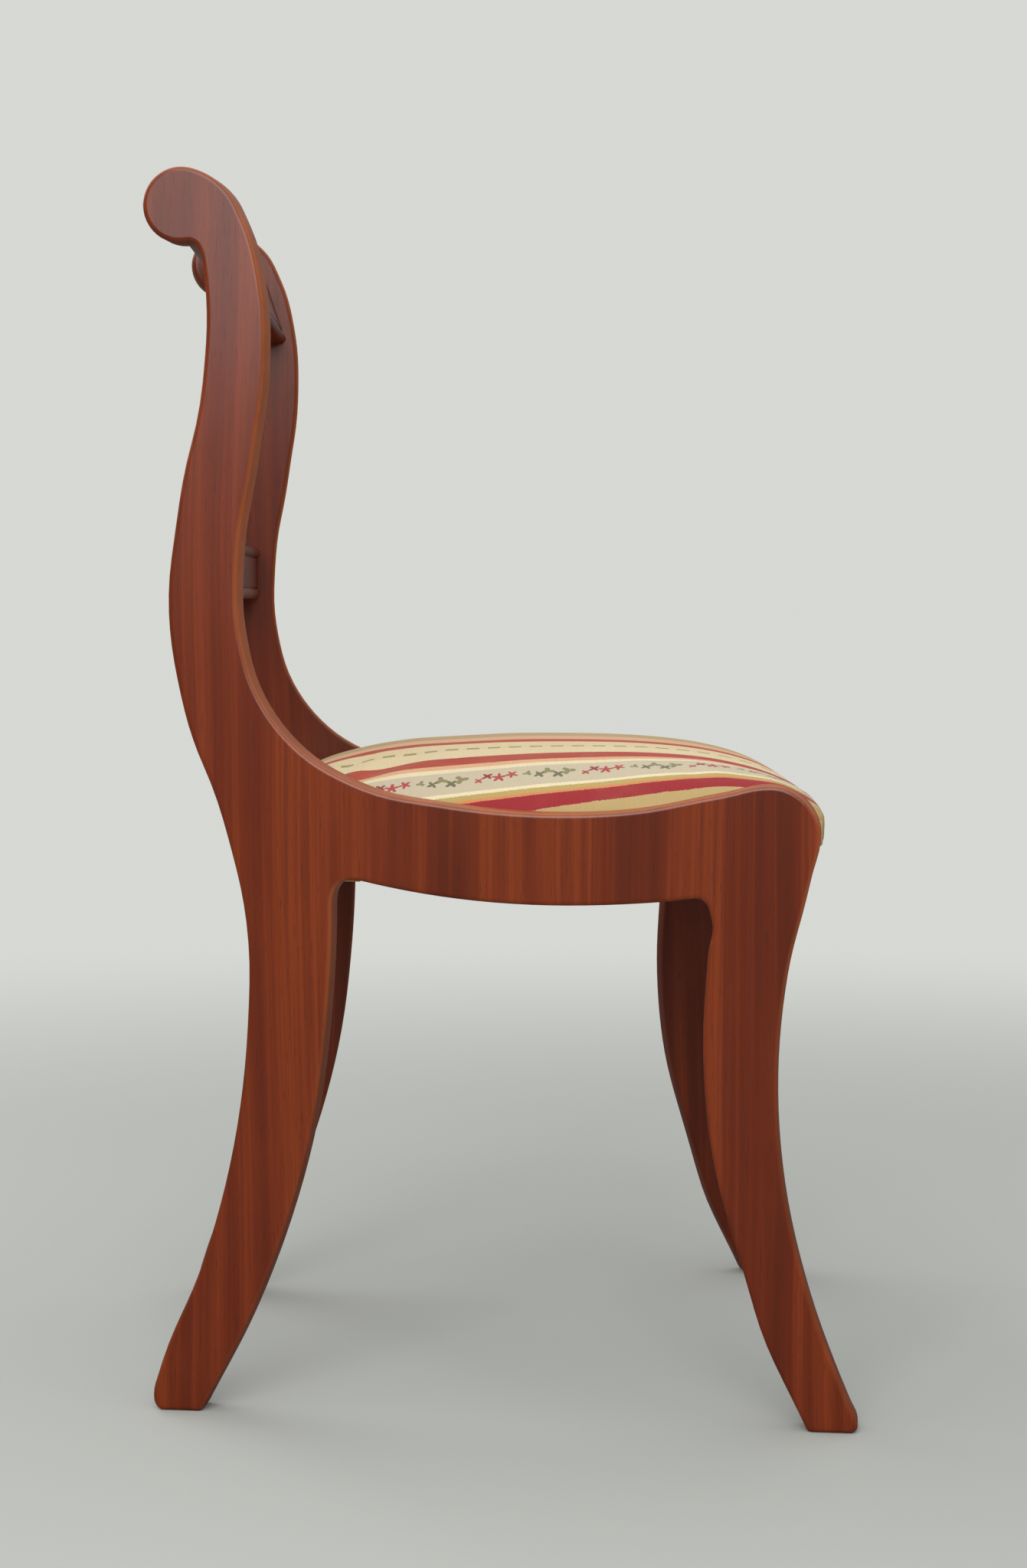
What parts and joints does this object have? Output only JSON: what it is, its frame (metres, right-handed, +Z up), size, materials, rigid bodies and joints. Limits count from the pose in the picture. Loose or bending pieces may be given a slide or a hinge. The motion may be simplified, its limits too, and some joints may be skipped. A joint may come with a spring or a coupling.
{
  "type": "lyre back chair",
  "caption": "Wooden side chair with scrolled sabre-leg side frames, a lyre splat strung in brass between two back rails, and a striped drop-in seat that lifts out.",
  "frame": {"origin": "middle of the chair's footprint, on the floor", "axes": "+Z up, the chair's front faces -Y, +X towards the sitter's left"},
  "size_m": [0.4914, 0.4825, 0.85],
  "materials": {
    "mahogany": "french polished, ribbon striped grain running upright",
    "beech": "planed and unfinished",
    "brass": "polished rod",
    "seat_fabric": "woven stripes in crimson, gold and cream with small sprigs",
    "webbing": "herringbone jute",
    "hessian": "open plain weave",
    "dust_cloth": "plain black cotton"
  },
  "bodies": {
    "chair_frame": {"side_frame_right": "mahogany", "side_frame_left": "mahogany", "crest_rail": "mahogany", "lower_back_rail": "mahogany", "lyre_base": "mahogany", "lyre_arm_right": "mahogany", "lyre_arm_left": "mahogany", "lyre_yoke": "mahogany", "lyre_strings": "brass", "front_seat_rail": "mahogany", "back_seat_rail": "mahogany", "seat_bearer_right": "beech", "seat_bearer_left": "beech", "corner_block_front_right": "beech", "corner_block_front_left": "beech", "corner_block_back_right": "beech", "corner_block_back_left": "beech"},
    "drop_in_seat": {"seat_frame_front": "beech", "seat_frame_back": "beech", "seat_frame_right": "beech", "seat_frame_left": "beech", "webbing_lengthwise": "webbing", "webbing_crosswise": "webbing", "hessian": "hessian", "seat_cushion": "seat_fabric", "dust_cover": "dust_cloth"}
  },
  "joints": [
    {"name": "seat_lift", "type": "slide", "parent": "chair_frame", "child": "drop_in_seat", "axis": [0, 0, 1], "range_m": [0, 0.12]}
  ]
}
